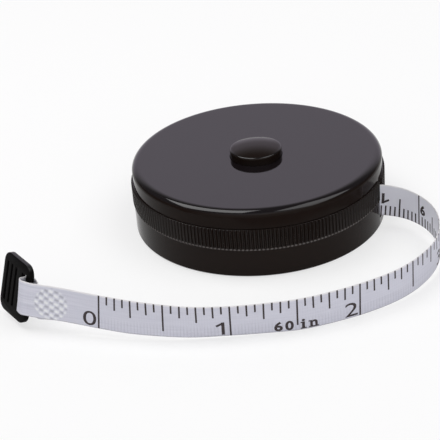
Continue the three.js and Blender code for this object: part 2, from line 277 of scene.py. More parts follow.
# The weld's pits, 1 in the middle of a pit, -1 on the ridges between them and 0 outside the patch
def weldPress(distance, across):
    spot = (distance, across)
    rim = tape["weldRadius"]
    patch = ramp(math.dist(spot, tape["weldMiddle"]), rim, rim - tape["weldFade"])
    places = zip(spot, tape["weldPit"], tape["weldPitch"])
    along, aside = (math.pi * 2 * (value - pit) / pitch for value, pit, pitch in places)
    uneven = noise.noise_vector(Vector((*spot, 0)) / tape["weldUneven"]) * tape["weldShift"]
    turn = tape["weldTilt"] / 2 * math.sin(2 * along)
    waves = math.cos(along + uneven.x), math.cos(aside + uneven.y + turn)
    row, column = (math.copysign(abs(wave) ** power, wave) for wave, power in zip(waves, tape["weldShape"]))
    return patch * (row * column - tape["weldRidge"]) / (1 + tape["weldRidge"])


# Relief of the weld: pits pressed into the inch side of the front layer, with the tail clear behind it
def weldRelief(distance, across):
    if distance > tape["tailStart"]:
        return -weldPress(distance, across) * tape["weldDepth"] / 2
    return ramp(distance, tape["tailStart"], tape["tailStart"] - tape["tailRamp"]) * tape["tailClear"]


def makeTape():
    noise.seed_set(tape["weldSeed"])
    steps = round((coilEnd - tailEnd) / tape["stripStep"])
    half = tape["width"] / 2
    shape = bmesh.new()
    bmesh.ops.create_grid(shape, x_segments=steps, y_segments=tape["columns"], size=1)
    plate = bmesh.ops.extrude_face_region(shape, geom=shape.faces[:])
    raised = [item for item in plate["geom"] if isinstance(item, bmesh.types.BMVert)]
    bmesh.ops.translate(shape, verts=raised, vec=(0, 0, 1))
    spots = shape.verts.layers.float_vector.new("tapeSpot")
    presses = shape.verts.layers.float.new("weldPress")
    for vert in shape.verts:
        distance = tailEnd + (coilEnd - tailEnd) * (vert.co.x + 1) / 2
        across = half * (vert.co.y + math.sin(vert.co.y * math.pi / 2)) / 2
        side = 1 if vert.co.z > 0.5 else -1
        through = side * tape["thickness"] / 2 * tapeEdge(across) + weldRelief(distance, across)
        vert.co = (distance, across, through)
        vert[spots] = (distance, across, side)
        vert[presses] = weldPress(distance, across)
    bendToTape(shape)
    piece = finishMesh("clothTape", shape, sharpAngle=60)
    line = [point.to_3d() * mm for point in routeLine[: foldIndex + 1]]
    return piece, line


clothTape, tapeLine = makeTape()
print("tape:", len(clothTape.data.polygons), "faces,", round(routeAlong[foldIndex], 1), "mm to the fold")

# Printing on the tape: inches on one side, centimetres on the other, as raised ink
ink = {
    "height": 0.02,
    "lineWidth": 0.34,
    "edgeGap": 0.06,  # lines start this far from the tape's edge
    "edgeCuts": (1, 0.6, 0.3),  # print is cut at these shares of the rounded selvedge
    "mergeGap": 0.0005,
    "inch": 25.4,
    "inchParts": 16,
    "inchLengths": {16: 1, 8: 0.82, 4: 0.51, 2: 0.37, 1: 0.25},  # share of the tape's width, by sixteenths
    # width, height and gap to its line
    "inchDigits": {0: (2.68, 3.14, 0.5), 1: (1.6, 3.05, 1.1), 2: (2.7, 3.1, 0.5), 3: (2.6, 3.1, 0.5)},
    "inchDigitBase": 0.42,
    "centimetre": 10,
    "centimetreLengths": {10: 1, 5: 0.62, 1: 0.33},  # by millimetres
    "centimetreDigit": (1.6, 2.45),
    "centimetreDigitGap": 0.4,
    "centimetrePairGap": 1.0,  # the first of two figures stands this far before their line
    "centimetreDigitBase": 1.95,
    "centimetreWeight": 0.045,
    "curveSteps": 6,
    "slice": 0.3,  # lettering is cut this fine, so that it follows the bends
}


# A block of ink, by its middle, its length and width, and its slant
def addBlock(shape, middle, size, slant=0.0):
    place = Matrix.Translation((*middle, 0)) @ Matrix.Rotation(slant, 4, "Z")
    bmesh.ops.create_cube(shape, size=1, matrix=place @ Matrix.Diagonal((*size, ink["height"], 1)))


def addLine(shape, place, length):
    half = tape["width"] / 2
    top = half - ink["edgeGap"]
    bottom = -top if length == 1 else half - length * tape["width"]
    addBlock(shape, (place, (top + bottom) / 2), (ink["lineWidth"], top - bottom))


# One character, scaled to the box that it fills on the tape
def addLetter(shape, text, left, bottom, width, height, weight=0.0):
    if text == "1":
        addOne(shape, left, bottom, width, height)
        return
    curve = bpy.data.curves.new("letter", "FONT")
    curve.body = text
    curve.offset = weight
    curve.resolution_u = ink["curveSteps"]
    curve.extrude = 0.5  # any thickness, since it is scaled below
    holder = linkPiece("letter", curve)
    bpy.context.view_layer.update()
    letter = bpy.data.meshes.new_from_object(holder.evaluated_get(bpy.context.evaluated_depsgraph_get()))
    bpy.data.objects.remove(holder)
    bpy.data.curves.remove(curve)
    places = [vert.co for vert in letter.vertices]
    low = Vector([min(place[k] for place in places) for k in range(3)])
    high = Vector([max(place[k] for place in places) for k in range(3)])
    size = high - low
    scale = Matrix.Diagonal((width / size.x, height / size.y, ink["height"] / size.z, 1))
    middle = Matrix.Translation((left, bottom, -ink["height"] / 2))
    letter.transform(middle @ scale @ Matrix.Translation(-low))
    flat = bmesh.new()
    flat.from_mesh(letter)
    bmesh.ops.remove_doubles(flat, verts=flat.verts, dist=ink["mergeGap"])
    for i in range(1, math.ceil(width / ink["slice"])):
        everything = flat.verts[:] + flat.edges[:] + flat.faces[:]
        cut = (left + i * ink["slice"], 0, 0)
        bmesh.ops.bisect_plane(flat, geom=everything, plane_co=cut, plane_no=(1, 0, 0))
    flat.to_mesh(letter)
    flat.free()
    shape.from_mesh(letter)
    bpy.data.meshes.remove(letter)


# The figure one: a stem with a slanting flag
one = {"stem": 0.6, "flagRise": 0.7, "flagThick": 0.46}


def addOne(shape, left, bottom, width, height):
    stem = one["stem"]
    addBlock(shape, (left + width - stem / 2, bottom + height / 2), (stem, height))
    reach = Vector((width - stem / 2, one["flagRise"]))
    middle = (left + reach.x / 2, bottom + height - (reach.y + one["flagThick"]) / 2)
    addBlock(shape, middle, (reach.length, one["flagThick"]), math.atan2(reach.y, reach.x))


# The length mark: bold figures and letters with slab feet, either side of the line at one and a half inches
lengthMark = {
    "base": 0.27,
    "figures": {"6": 33.65, "0": 35.75},
    "figureSize": (1.62, 2.25),
    "figureWeight": 0.035,
    "letters": {"i": (38.9, 0.62, 2.25), "n": (40.5, 1.45, 1.62)},  # left, width, height
    "letterWeight": 0.03,
    "footHeight": 0.26,
    "footReach": 0.26,  # the slab feet stand out this far to each side
    "feet": ((38.9, 0.62), (40.5, 0.55), (41.4, 0.55)),
    "headSlabs": ((38.65, 0.5), (40.2, 0.5)),  # small flags at the letters' upper left
}


def addLengthMark(shape):
    bottom = lengthMark["base"] - tape["width"] / 2
    for figure, left in lengthMark["figures"].items():
        addLetter(shape, figure, left, bottom, *lengthMark["figureSize"], lengthMark["figureWeight"])
    for letter, (left, width, height) in lengthMark["letters"].items():
        addLetter(shape, letter, left, bottom, width, height, lengthMark["letterWeight"])
    thick = lengthMark["footHeight"]
    xHeight = lengthMark["letters"]["n"][2]
    reach = lengthMark["footReach"]
    slabs = [(left - reach, width + 2 * reach, 0) for left, width in lengthMark["feet"]]
    slabs += [(left, width, xHeight - thick) for left, width in lengthMark["headSlabs"]]
    for left, width, rise in slabs:
        addBlock(shape, (left + width / 2, bottom + rise + thick / 2), (width, thick))


# Print is cut near the tape's edges and laid down on the rounded selvedge
def liftToSurface(shape):
    for share in ink["edgeCuts"]:
        for side in (1, -1):
            level = side * (tape["width"] / 2 - tape["edgeRound"] * share)
            everything = shape.verts[:] + shape.edges[:] + shape.faces[:]
            bmesh.ops.bisect_plane(shape, geom=everything, plane_co=(0, level, 0), plane_no=(0, 1, 0))
    for vert in shape.verts:
        vert.co.z += tape["thickness"] / 2 * tapeEdge(vert.co.y)


def lengthOf(count, lengths):
    return next(share for step, share in lengths.items() if count % step == 0)


def makeInchPrint():
    shape = bmesh.new()
    bottom = ink["inchDigitBase"] - tape["width"] / 2
    for count in range(int(coilEnd / ink["inch"] * ink["inchParts"])):
        addLine(shape, count * ink["inch"] / ink["inchParts"], lengthOf(count, ink["inchLengths"]))
    for digit, (width, height, gap) in ink["inchDigits"].items():
        left = digit * ink["inch"] - gap - width
        addLetter(shape, str(digit), left, bottom, width, height)
    addLengthMark(shape)
    liftToSurface(shape)
    bendToTape(shape)
    return finishMesh("inchPrint", shape, sharpAngle=30)


# The centimetre side is drawn as it reads, then turned over about the tape's length
def makeCentimetrePrint():
    shape = bmesh.new()
    bottom = ink["centimetreDigitBase"] - tape["width"] / 2
    width, height = ink["centimetreDigit"]
    for count in range(int(coilEnd)):
        addLine(shape, count, lengthOf(count, ink["centimetreLengths"]))
    for number in range(1, int(coilEnd / ink["centimetre"])):
        if number < 10:
            starts = [-ink["centimetreDigitGap"] - width]
        else:  # two figures stand either side of their line
            starts = [-ink["centimetrePairGap"] - width, ink["centimetreDigitGap"]]
        for figure, start in zip(str(number), starts):
            left = number * ink["centimetre"] + start
            addLetter(shape, figure, left, bottom, width, height, ink["centimetreWeight"])
    liftToSurface(shape)
    bmesh.ops.rotate(shape, verts=shape.verts, cent=(0, 0, 0), matrix=Matrix.Rotation(math.pi, 3, "X"))
    bendToTape(shape)
    return finishMesh("centimetrePrint", shape, sharpAngle=30)


inchPrint = makeInchPrint()
centimetrePrint = makeCentimetrePrint()
print("print:", len(inchPrint.data.polygons), "and", len(centimetrePrint.data.polygons), "faces")


# A section of [radius, height] points, turned round the case's axis
def turned(points, steps):
    shape = bmesh.new()
    verts = [shape.verts.new((radius * mm, 0, height * mm)) for radius, height in points]
    edges = [shape.edges.new(pair) for pair in zip(verts, verts[1:])]
    bmesh.ops.spin(
        shape,
        geom=verts + edges,
        cent=(0, 0, 0),
        axis=(0, 0, 1),
        angle=2 * math.pi,
        steps=steps,
        use_merge=True,
    )
    bmesh.ops.remove_doubles(shape, verts=shape.verts, dist=mergeGap)
    bmesh.ops.recalc_face_normals(shape, faces=shape.faces)
    return shape


# Rounds every ring of edges that lies at a given radius and height
def roundRing(shape, radius, height, size, segments):
    def onRing(vert):
        offset = vert.co.xy.length - radius * mm, vert.co.z - height * mm
        return max(abs(offset[0]), abs(offset[1])) < samePlace * mm

    ring = [edge for edge in shape.edges if all(onRing(vert) for vert in edge.verts)]
    bmesh.ops.bevel(
        shape, geom=ring, offset=size * mm, segments=segments, profile=0.5, affect="EDGES", material=-1
    )


# Boxes cut out of a piece, each given by its low and high corner before it is turned into place
def cutBoxes(piece, boxes, turn=Matrix.Identity(4)):
    tools = []
    for low, high in boxes:
        low, high = Vector(low) * mm, Vector(high) * mm
        shape = bmesh.new()
        place = Matrix.Translation((low + high) / 2) @ Matrix.Diagonal((*(high - low), 1))
        bmesh.ops.create_cube(shape, size=1, matrix=turn @ place)
        tools.append(finishMesh("cutter", shape))
    for tool in tools:
        cutter = piece.modifiers.new("cut", "BOOLEAN")
        cutter.operation = "DIFFERENCE"
        cutter.solver = "EXACT"
        cutter.object = tool
    applyModifiers(piece)
    for tool in tools:
        bpy.data.objects.remove(tool)


# Lower half of the case, with the knurled grip ring and the tape's slot
base = {
    "ribs": 206,
    "gripPolish": 0.42,
    # across one rib: share of the pitch, share of the ribs' rise
    "rib": ((0.0, 1.0), (0.12, 1.0), (0.28, 0.5), (0.42, 0.1), (0.56, 0.0), (0.7, 0.1), (0.84, 0.5)),
    "gripHeight": 4.8,
    "bandStep": 0.3,  # the lower band stands out this far from the upper one
    "fluteDepth": 0.42,
    "paintedHighlightDepth": 0.03,  # painted pale only where the flutes are at least this deep
    "paintedHighlightRows": (0, 3),  # and between these rows of the ribs' lower end
    # from the lower band's edge up: height, share of the ribs' rise, share of the flutes' depth
    "ribEnd": ((0.0, 0.0, 0.0), (0.1, 0.25, 0.4), (0.24, 0.55, 0.78), (0.38, 0.85, 0.96), (0.5, 1.0, 1.0)),
    "ribTop": ((0.24, 0.0), (0.09, 0.06), (0.0, 0.22)),  # below the seam, and how far the crests round off
    "floor": 1.0,
    "innerRadius": 25.4,
    "rebateRadius": 26.35,
    "rebateBottom": 8.75,
    "footRadius": 0.5,
    "slotWidth": 1.1,
    "slotSlant": 16,  # the way that the tape takes through the wall
    "slotInside": 6,
    "slotOutside": 5,
    "slotBottom": 2.0,
}


def cutSlot(piece, top):
    x, y = tapeRoute[tape["exitPoint"]][:2]
    turn = Matrix.Translation((x * mm, y * mm, 0)) @ Matrix.Rotation(math.radians(base["slotSlant"]), 4, "Z")
    low = (-base["slotInside"], -base["slotWidth"] / 2, base["slotBottom"])
    cutBoxes(piece, [(low, (base["slotOutside"], base["slotWidth"] / 2, top))], turn)


def makeCaseBase():
    gripBottom = gripTop - base["gripHeight"]
    lowRadius = bandRadius + base["bandStep"]
    flute = gripRadius - base["fluteDepth"]
    grip = []  # height, radius at the ribs' crests, radius at the flutes' floors
    for rise, crestShare, fluteShare in base["ribEnd"]:
        crest = lowRadius + (gripRadius - lowRadius) * crestShare
        grip.append((gripBottom + rise, crest, lowRadius + (flute - lowRadius) * fluteShare))
    grip += [(gripTop - drop, gripRadius - inset, flute) for drop, inset in base["ribTop"]]
    midway = lowRadius / 2
    section = [(0, 0), (midway, 0), (lowRadius, 0)]
    gripPoints = range(len(section), len(section) + len(grip))
    section += [(crest, height) for height, crest, _ in grip]
    section += [
        (base["rebateRadius"], gripTop),
        (base["rebateRadius"], base["rebateBottom"]),
        (base["innerRadius"], base["rebateBottom"]),
        (base["innerRadius"], base["floor"]),
        (midway, base["floor"]),
        (0, base["floor"]),
    ]
    pitch = 2 * math.pi / base["ribs"]
    shape = bmesh.new()
    rows = []
    for share, rise in [*base["rib"], (1.0, 1.0)]:
        row = []
        for i, (radius, height) in enumerate(section):
            if i in gripPoints:
                _, crest, floor = grip[i - gripPoints.start]
                radius = floor + (crest - floor) * rise
            angle = share * pitch
            place = Vector((radius * math.cos(angle), radius * math.sin(angle), height))
            row.append(shape.verts.new(place * mm))
        rows.append([shape.edges.new(pair) for pair in zip(row, row[1:])])
    for first, second in zip(rows, rows[1:]):
        bmesh.ops.bridge_loops(shape, edges=first + second)
    bmesh.ops.remove_doubles(shape, verts=shape.verts, dist=mergeGap)
    bmesh.ops.spin(
        shape,
        geom=shape.verts[:] + shape.edges[:] + shape.faces[:],
        cent=(0, 0, 0),
        axis=(0, 0, 1),
        angle=2 * math.pi - pitch,
        steps=base["ribs"] - 1,
        use_duplicate=True,
    )
    bmesh.ops.remove_doubles(shape, verts=shape.verts, dist=mergeGap)
    bmesh.ops.recalc_face_normals(shape, faces=shape.faces)
    roundRing(shape, lowRadius, 0, base["footRadius"], segments=4)
    piece = finishMesh("caseBase", shape)
    cutSlot(piece, caseHeight)
    evenShade(piece)
    markPolish(piece, base["gripPolish"], (gripBottom + base["ribEnd"][1][0], gripTop))
    markScuff(piece, lowRadius - base["paintedHighlightDepth"], gripBottom)
    return piece


# The flutes' lower ends are painted pale, a painted highlight where their upturned ends catch the light from
# above
def markScuff(piece, radius, bottom):
    paintedHighlight = piece.data.attributes.new("paintedHighlight", "FLOAT", "POINT")
    low, high = (bottom + base["ribEnd"][row][0] for row in base["paintedHighlightRows"])
    for vert, spot in zip(piece.data.vertices, paintedHighlight.data):
        between = low + samePlace < vert.co.z / mm < high - samePlace
        spot.value = 1 if between and vert.co.xy.length < radius * mm else 0


caseBase = makeCaseBase()
print("case base:", base["ribs"], "ribs,", len(caseBase.data.polygons), "faces")

# Upper half of the case
cover = {
    "steps": 256,
    "seam": 0.06,
    "slotRoof": 0.15,  # the slot in the rim stops this far below the grip's top
    "rimRadius": 26.2,
    "rimBottom": 8.9,
    "underside": 12.8,
    "holeRadius": 5.68,
    "dish": 0.6,  # how far the top sinks towards its middle
    "dishSteps": 12,
    "edgeWidth": 1.9,  # the top's edge rounds off over this much of the radius
    "edgeHeight": 1.4,
    "edgeSegments": 18,
    "seamRound": 0.06,
    "holeRound": 0.05,
}


def makeCover():
    seam = gripTop + cover["seam"]
    inner = base["innerRadius"]
    topRadius = bandRadius - cover["edgeWidth"]
    rounding = []
    for i in range(cover["edgeSegments"] + 1):
        angle = math.pi / 2 * i / cover["edgeSegments"]
        height = caseHeight - cover["edgeHeight"] * (1 - math.sin(angle))
        rounding.append((topRadius + cover["edgeWidth"] * math.cos(angle), height))
    dish = []
    for i in range(cover["dishSteps"]):
        radius = topRadius + (cover["holeRadius"] - topRadius) * (i + 1) / cover["dishSteps"]
        dish.append((radius, caseHeight - cover["dish"] * (1 - (radius / topRadius) ** 2)))
    section = [
        (cover["holeRadius"], cover["underside"]),
        (inner, cover["underside"]),
        (inner, cover["rimBottom"]),
        (cover["rimRadius"], cover["rimBottom"]),
        (cover["rimRadius"], seam),
        (bandRadius, seam),
        *rounding,
        *dish,
    ]
    shape = turned([*section, section[0]], cover["steps"])
    roundRing(shape, bandRadius, seam, cover["seamRound"], segments=2)
    roundRing(shape, *dish[-1], cover["holeRound"], segments=2)
    piece = finishMesh("caseCover", shape)
    cutSlot(piece, gripTop - cover["slotRoof"])
    evenShade(piece)
    markPolish(piece)
    return piece


caseCover = makeCover()
print("case cover:", len(caseCover.data.polygons), "faces")

# Push button
button = {
    "steps": 128,
    "radius": 5.6,
    "rise": 1.2,
    "dome": 0.85,
    "domeSteps": 14,
    "rimRadius": 0.45,
    "rimSegments": 9,
    "domePolish": 0.17,  # the dome mirrors less than its rim
    "domeFacing": (0.925, 0.955),  # how far up a spot looks where rim turns to dome
    "flangeRadius": 7.4,
    "flangeTop": 12.6,
    "bottom": 11.05,
    "recessRadius": 2.6,
    "recessTop": 11.5,
}


def makeButton():
    rim = caseHeight + button["rise"]
    edge = button["radius"]
    section = [
        (0, button["recessTop"]),
        (button["recessRadius"], button["recessTop"]),
        (button["recessRadius"], button["bottom"]),
        (button["flangeRadius"], button["bottom"]),
        (button["flangeRadius"], button["flangeTop"]),
        (edge, button["flangeTop"]),
    ]
    slope = math.atan2(2 * button["dome"], edge)
    for i in range(button["rimSegments"] + 1):
        angle = (math.pi / 2 - slope) * i / button["rimSegments"]
        inward, up = 1 - math.cos(angle), 1 - math.sin(angle)
        section.append((edge - button["rimRadius"] * inward, rim - button["rimRadius"] * up))
    domeRadius, domeBottom = section[-1]
    for i in range(1, button["domeSteps"] + 1):
        radius = domeRadius * (1 - i / button["domeSteps"])
        section.append((radius, domeBottom + button["dome"] * (1 - (radius / domeRadius) ** 2)))
    piece = finishMesh("releaseButton", turned(section, button["steps"]))
    evenShade(piece)
    markPolish(piece)
    for vert, spot in zip(piece.data.vertices, piece.data.attributes["polish"].data):
        onDome = ramp(vert.normal.z, *button["domeFacing"])
        spot.value *= 1 - (1 - button["domePolish"]) * onDome
    return piece


releaseButton = makeButton()
print("button:", len(releaseButton.data.polygons), "faces")

# Pull tab on the tape's end: a plate with a slot, a bar for the tape's loop and finger grooves on both faces
tab = {
    "width": 9.8,
    "height": 12.3,
    "thickness": 1,
    "cornerRadius": 2.1,
    "cornerSegments": 8,
    "edgeRound": 0.2,
    "edgeSegments": 3,
    "edgeAngle": 40,  # edges sharper than this are rounded
    "bar": 1.4,
    "slotWidth": 1.7,
    "slotMargin": 0.45,  # between the tape's edges and the slot's ends
    "grooves": 3,
    "grooveWidth": 0.7,
    "groovePitch": 1.6,
    "land": 1.7,  # between the slot and the nearest groove
    "grooveLength": 8.4,
    "grooveDepth": 0.3,
    "centre": (-49.73, -34.5, 6.98),
    "heading": -55,
    "tilt": -16.1,
    "roll": 2.5,
}


def makeTab():
    shape = bmesh.new()
    bmesh.ops.create_grid(shape, x_segments=1, y_segments=1, size=0.5)
    bmesh.ops.scale(shape, verts=shape.verts, vec=(tab["width"] * mm, tab["height"] * mm, 1))
    bmesh.ops.bevel(
        shape,
        geom=shape.verts[:],
        offset=tab["cornerRadius"] * mm,
        segments=tab["cornerSegments"],
        profile=0.5,
        affect="VERTICES",
        material=-1,
    )
    plate = bmesh.ops.extrude_face_region(shape, geom=shape.faces[:])
    raised = [item for item in plate["geom"] if isinstance(item, bmesh.types.BMVert)]
    bmesh.ops.translate(shape, verts=raised, vec=(0, 0, tab["thickness"] * mm))
    bmesh.ops.translate(shape, verts=shape.verts, vec=(0, 0, -tab["thickness"] / 2 * mm))
    piece = finishMesh("endTab", shape)
    halfSlot = tape["width"] / 2 + tab["slotMargin"]
    halfGroove = tab["grooveLength"] / 2
    slotRight = tab["width"] / 2 - tab["bar"]
    slotLeft = slotRight - tab["slotWidth"]
    outside = tab["thickness"]
    boxes = [((slotLeft, -halfSlot, -outside), (slotRight, halfSlot, outside))]
    for i in range(1, tab["grooves"] + 1):
        left = slotLeft - tab["land"] - tab["grooveWidth"] - (i - 1) * tab["groovePitch"]
        level = tab["thickness"] / 2 - tab["grooveDepth"]
        boxes.append(((left, -halfGroove, level), (left + tab["grooveWidth"], halfGroove, outside)))
        boxes.append(((left, -halfGroove, -outside), (left + tab["grooveWidth"], halfGroove, -level)))
    cutBoxes(piece, boxes)
    soften = piece.modifiers.new("soften", "BEVEL")
    soften.width = tab["edgeRound"] * mm
    soften.segments = tab["edgeSegments"]
    soften.limit_method = "ANGLE"
    soften.angle_limit = math.radians(tab["edgeAngle"])
    applyModifiers(piece)
    turn = Matrix.Rotation(math.radians(tab["heading"]), 4, "Z")
    turn = turn @ Matrix.Rotation(math.radians(tab["tilt"]), 4, "X")
    turn = turn @ Matrix.Rotation(math.radians(tab["roll"]), 4, "Y")
    upright = Matrix.Rotation(math.pi / 2, 4, "X")
    piece.data.transform(Matrix.Translation(Vector(tab["centre"]) * mm) @ turn @ upright)
    smoothShade(piece, sharpAngle=35)
    markPolish(piece)
    return piece


endTab = makeTab()
print("end tab:", len(endTab.data.polygons), "faces")


# Materials
def linear(hexColour):
    channels = [int(hexColour[i : i + 2], 16) / 255 for i in (1, 3, 5)]
    return [c / 12.92 if c <= 0.04045 else ((c + 0.055) / 1.055) ** 2.4 for c in channels] + [1]


def addNode(tree, kind, settings=None, links=None):
    node = tree.nodes.new(kind)
    for name, value in (settings or {}).items():
        if isinstance(name, int) or name in node.inputs:
            node.inputs[name].default_value = value
        else:
            setattr(node, name, value)
    for name, source in (links or {}).items():
        tree.links.new(source, node.inputs[name])
    return node


def newMaterial(name, settings):
    material = bpy.data.materials.new(name)
    material.use_nodes = True
    shader = material.node_tree.nodes["Principled BSDF"]
    for socket, value in settings.items():
        shader.inputs[socket].default_value = value
    return material, material.node_tree, shader


# Mirror-like where the piece is polished, and weaker elsewhere
def setGloss(tree, shader, gloss):
    polish = addNode(tree, "ShaderNodeAttribute", {"attribute_name": "polish"})
    mirror = addNode(
        tree, "ShaderNodeMapRange", {"To Min": gloss[0], "To Max": gloss[1]}, {"Value": polish.outputs["Fac"]}
    )
    tree.links.new(mirror.outputs["Result"], shader.inputs["IOR"])
    return polish.outputs["Fac"]


# What most finishes start from: two close tones, in clouds of a real size
def twoTone(name, hexes, cloudSize, detail, settings):
    material, tree, shader = newMaterial(name, settings)
    coords = addNode(tree, "ShaderNodeTexCoord")
    cloud = addNode(
        tree,
        "ShaderNodeTexNoise",
        {"Scale": 1 / (cloudSize * mm), "Detail": detail},
        {"Vector": coords.outputs["Object"]},
    )
    dark, pale = (linear(colour) for colour in hexes)
    tone = addNode(
        tree, "ShaderNodeMix", {"data_type": "RGBA", 6: dark, 7: pale}, {0: cloud.outputs["Fac"]}
    )
    tree.links.new(tone.outputs[2], shader.inputs["Base Color"])
    return material, tree, shader, cloud.outputs["Fac"]


# Black ABS, moulded in a polished tool: mirror-like on top, wavy and much weaker reflections at the sides
moulding = {
    # millimetres across, detail and roughness of the noise
    "flowMarks": (9, 3.0, 0.5),
    "handlingHaze": (2.2, 4.0, 0.6),
    "shrinkWaves": (3.5, 1.0, 0.5),
    "hazeSpan": (0.3, 0.75),  # the haze's noise counts between these
    "hazeRoughness": (0.8, 1.3),  # and changes the roughness by these
    # pale colour of the painted highlight on the flutes' lower ends
    "paintedHighlight": "#67615f",
    "warm": ("#1a1310", "#1e1612"),
    "cool": ("#141012", "#171315"),
    "finishes": {
        "polishedBlackAbs": {"top": "warm", "roughness": 0.12, "waveDepth": 0.004, "gloss": (1.17, 1.42)},
        "mirrorBlackAbs": {"top": "cool", "roughness": 0.06, "waveDepth": 0.0, "gloss": (1.14, 1.42)},
        "buttonBlackAbs": {"top": "cool", "roughness": 0.08, "waveDepth": 0.0, "gloss": (1.2, 1.46)},
    },
}


def mouldedAbs(name):
    finish = moulding["finishes"][name]
    material, tree, shader = newMaterial(name, {})
    coords = addNode(tree, "ShaderNodeTexCoord")
    polish = setGloss(tree, shader, finish["gloss"])
    patterns = [moulding[key] for key in ("flowMarks", "handlingHaze", "shrinkWaves")]
    flow, haze, waves = (
        addNode(
            tree,
            "ShaderNodeTexNoise",
            {"Scale": 1 / (across * mm), "Detail": detail, "Roughness": roughness},
            {"Vector": coords.outputs["Object"]},
        ).outputs["Fac"]
        for across, detail, roughness in patterns
    )
    side, top = (
        addNode(
            tree, "ShaderNodeMix", {"data_type": "RGBA", 6: linear(dark), 7: linear(pale)}, {0: flow}
        ).outputs[2]
        for dark, pale in (moulding["warm"], moulding[finish["top"]])
    )
    tone = addNode(tree, "ShaderNodeMix", {"data_type": "RGBA"}, {0: polish, 6: side, 7: top})
    # the flutes' lower ends are painted pale as a painted highlight
    paintedHighlight = addNode(tree, "ShaderNodeAttribute", {"attribute_name": "paintedHighlight"})
    tone = addNode(
        tree,
        "ShaderNodeMix",
        {"data_type": "RGBA", 7: linear(moulding["paintedHighlight"])},
        {0: paintedHighlight.outputs["Fac"], 6: tone.outputs[2]},
    )
    tree.links.new(tone.outputs[2], shader.inputs["Base Color"])
    start, full = moulding["hazeSpan"]
    low, high = (finish["roughness"] * change for change in moulding["hazeRoughness"])
    rough = addNode(
        tree,
        "ShaderNodeMapRange",
        {"From Min": start, "From Max": full, "To Min": low, "To Max": high},
        {"Value": haze},
    )
    tree.links.new(rough.outputs["Result"], shader.inputs["Roughness"])
    depth = finish["waveDepth"] * mm
    bump = addNode(tree, "ShaderNodeBump", {"Strength": 1.0, "Distance": depth}, {"Height": waves})
    tree.links.new(bump.outputs["Normal"], shader.inputs["Normal"])
    return material


# Satin black ABS from an etched tool: a grain of about a quarter millimetre, which breaks up highlights
def satinAbs():
    material, tree, shader, grain = twoTone("satinBlackAbs", ("#0b0a0b", "#131212"), 0.25, 2.0, {})
    setGloss(tree, shader, (1.08, 1.4))
    rough = addNode(tree, "ShaderNodeMapRange", {"To Min": 0.28, "To Max": 0.42}, {"Value": grain})
    tree.links.new(rough.outputs["Result"], shader.inputs["Roughness"])
    bump = addNode(tree, "ShaderNodeBump", {"Strength": 0.5, "Distance": 0.02 * mm}, {"Height": grain})
    tree.links.new(bump.outputs["Normal"], shader.inputs["Normal"])
    return material


# Glass-fibre cloth with a white vinyl coat: cool white, soft sheen, yarns showing as streaks along the tape,
# painted light on the weld's ridges, the upper edge and the centimetre side, painted shade in the weld's pits
# and on the lower edge
cloth = {
    "threadSpacing": 0.5,  # the real threads are finer, and are drawn this coarse so that they show
    "streakWidth": 0.4,
    "streakLength": 9,
    "bareFrom": -3.0,  # towards the fold the coat is thinner and the yarns show more, over these distances
    "bareTo": -13.0,
    "streakGain": (1.0, 3.0),
    "dark": "#c4c4d1",
    "pale": "#d6d6e1",
    # the weld's pits are painted greyer, a painted shade in the recesses, and its ridges paler, a painted
    # light on the raised parts
    "pit": "#a0a1aa",
    "paintedLightRidge": "#ecedf0",
    "reverse": "#e4e4ed",  # the centimetre side is painted whiter, a painted light that lifts the side the lamps leave darker
    # the upper edge is painted paler, a painted light where the rounded selvedge turns up to the light, and
    # the lower edge darker, a painted shade where it turns down
    "paintedLightUpperEdge": "#e6e4e6",
    "paintedShadeLowerEdge": "#aba9b1",
    "bar": "#a09fab",  # the weft shows as faint bars along the lower edge
    "barShare": 0.22,
    "barPitch": 0.64,
    "barSpan": (-0.6, -1.6),  # across the tape, where they start and where they are full
    "pressFull": 0.8,  # the weld's press at which a pit has its full painted shade and a ridge its full painted light
    "paintedLightUpperEdgeSpan": (0.35, 0.1),  # in from the edge, where the painted light starts and where it is full; the same below for the painted shade
    "paintedShadeLowerEdgeSpan": (0.3, 0.05),
    "threadWander": 0.6,
    "streakRelief": 1.5,  # height of the streaks against the weave
    "reliefDepth": 0.03,
}
waveRepeat = 2 * math.pi / 20  # a wave texture of this scale repeats once in each unit


